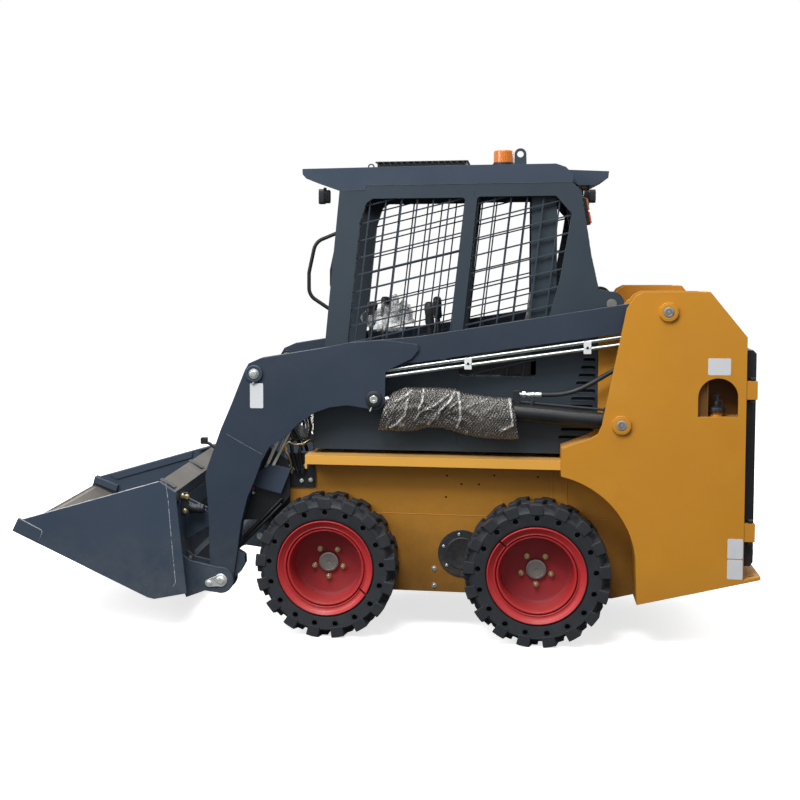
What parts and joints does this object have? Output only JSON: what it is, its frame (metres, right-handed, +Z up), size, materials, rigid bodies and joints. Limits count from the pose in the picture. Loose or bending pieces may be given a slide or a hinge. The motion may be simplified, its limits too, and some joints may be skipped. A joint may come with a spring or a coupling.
{
  "type": "skid steer loader",
  "caption": "Compact wheeled loader with a caged cab between rear towers, bent lift arms, hydraulic cylinders and a front bucket on a quick coupler.",
  "frame": {"origin": "on the ground, below the middle of the machine's length and width", "axes": "+X forwards towards the bucket, +Y to the machine's left, +Z up"},
  "size_m": [3.064, 1.2, 2.019],
  "materials": {
    "slate_paint": "satin slate blue-grey paint",
    "ochre_paint": "satin ochre yellow paint",
    "black_paint": "satin black paint",
    "red_paint": "satin red paint",
    "solid_tyre": "matt solid rubber",
    "pin_steel": "turned steel",
    "zinc_plate": "zinc plated steel",
    "polished_rod": "hard chromed rod",
    "hose_rubber": "matt hose rubber",
    "cap_plastic": "matt black plastic",
    "seat_vinyl": "black seat vinyl",
    "beacon_orange": "clear orange plastic",
    "lamp_black": "black lamp housing",
    "bubble_wrap": "clear bubble wrap",
    "engine_iron": "painted cast iron"
  },
  "bodies": {
    "chassis": {"chaincase_left": "ochre_paint", "chaincase_right": "ochre_paint", "belly_pan": "ochre_paint", "footwell": "black_paint", "side_rails": "ochre_paint", "axle_housings": "black_paint", "chain_covers": "black_paint", "nose_plates": "black_paint", "tower_left": "ochre_paint", "tower_right": "ochre_paint", "pivot_pins": "pin_steel", "fuel_caps": "cap_plastic", "rear_bumper": "ochre_paint", "engine_hood": "ochre_paint", "engine_block": "engine_iron", "door_hinges": "ochre_paint", "lift_hoses": "hose_rubber"},
    "cab": {"cab_side_left": "slate_paint", "cab_side_right": "slate_paint", "cab_pivot_pins": "pin_steel", "window_grilles": "black_paint", "cab_roof": "slate_paint", "cab_front_frame": "slate_paint", "cab_rear_wall": "slate_paint", "cab_floor": "black_paint", "seat_base": "black_paint", "seat_cushion": "seat_vinyl", "seat_backrest": "seat_vinyl", "control_levers": "black_paint", "roof_vent": "black_paint", "beacon": "beacon_orange", "lifting_eyes": "slate_paint", "work_lights": "lamp_black", "grab_handles": "black_paint"},
    "rear_door": {"rear_door": "black_paint"},
    "boom": {"boom_arm_left": "slate_paint", "boom_arm_right": "slate_paint", "boom_cross_tube": "slate_paint", "tilt_pins": "pin_steel", "boom_pipes": "zinc_plate", "hydraulic_blocks": "slate_paint"},
    "bucket": {"bucket": "slate_paint", "coupler": "slate_paint", "coupler_ears": "slate_paint", "foot_pins": "zinc_plate"},
    "lift_barrel": {"lift_barrels": "black_paint", "lift_ports": "zinc_plate", "lift_wraps": "bubble_wrap"},
    "lift_rod": {"lift_rods": "polished_rod"},
    "tilt_barrel": {"tilt_barrels": "black_paint"},
    "tilt_rod": {"tilt_rods": "polished_rod"},
    "wheel_front_left": {"tyre_front_left": "solid_tyre", "rim_front_left": "red_paint"},
    "wheel_front_right": {"tyre_front_right": "solid_tyre", "rim_front_right": "red_paint"},
    "wheel_rear_left": {"tyre_rear_left": "solid_tyre", "rim_rear_left": "red_paint"},
    "wheel_rear_right": {"tyre_rear_right": "solid_tyre", "rim_rear_right": "red_paint"}
  },
  "joints": [
    {"name": "front_left_wheel_spin", "type": "hinge", "parent": "chassis", "child": "wheel_front_left", "pos_m": [0.183, 0.4775, 0.292], "axis": [0, 1, 0], "continuous": true},
    {"name": "front_right_wheel_spin", "type": "hinge", "parent": "chassis", "child": "wheel_front_right", "pos_m": [0.183, -0.4775, 0.292], "axis": [0, 1, 0], "continuous": true},
    {"name": "rear_left_wheel_spin", "type": "hinge", "parent": "chassis", "child": "wheel_rear_left", "pos_m": [-0.674, 0.4775, 0.292], "axis": [0, 1, 0], "continuous": true},
    {"name": "rear_right_wheel_spin", "type": "hinge", "parent": "chassis", "child": "wheel_rear_right", "pos_m": [-0.674, -0.4775, 0.292], "axis": [0, 1, 0], "continuous": true},
    {"name": "boom_lift", "type": "hinge", "parent": "chassis", "child": "boom", "pos_m": [-1.171, 0, 1.356], "axis": [0, -1, 0], "range_deg": [0, 65]},
    {"name": "bucket_tilt", "type": "hinge", "parent": "boom", "child": "bucket", "pos_m": [0.633, 0, 0.213], "axis": [0, 1, 0], "range_deg": [0, 95]},
    {"name": "cab_tilt", "type": "hinge", "parent": "chassis", "child": "cab", "pos_m": [-0.965, 0, 1.382], "axis": [0, -1, 0], "range_deg": [0, 50]},
    {"name": "rear_door_swing", "type": "hinge", "parent": "chassis", "child": "rear_door", "pos_m": [-1.492, 0.545, 0.75], "axis": [0, 0, -1], "range_deg": [0, 110]},
    {"name": "lift_barrel_swing", "type": "hinge", "parent": "chassis", "child": "lift_barrel", "pos_m": [-0.998, 0, 0.907], "axis": [0, -1, 0], "range_deg": [0, 59.47], "deforming": ["lift_hoses"]},
    {"name": "lift_rod_slide", "type": "slide", "parent": "lift_barrel", "child": "lift_rod", "axis": [0.9964, 0, 0.085], "range_m": [0, 0.5036]},
    {"name": "tilt_barrel_swing", "type": "hinge", "parent": "boom", "child": "tilt_barrel", "pos_m": [0.488, 0, 1.091], "axis": [0, -1, 0], "range_deg": [0, 1.53]},
    {"name": "tilt_rod_slide", "type": "slide", "parent": "tilt_barrel", "child": "tilt_rod", "axis": [0.3361, 0, -0.9418], "range_m": [0, 0.3763]}
  ],
  "couplings": [
    {"joint": "lift_barrel_swing", "follows": "boom_lift", "ratio": 0.91411},
    {"joint": "lift_rod_slide", "follows": "boom_lift", "m_per_rad": 0.4437},
    {"joint": "tilt_barrel_swing", "follows": "bucket_tilt", "ratio": 0.0156},
    {"joint": "tilt_rod_slide", "follows": "bucket_tilt", "m_per_rad": 0.22686}
  ]
}
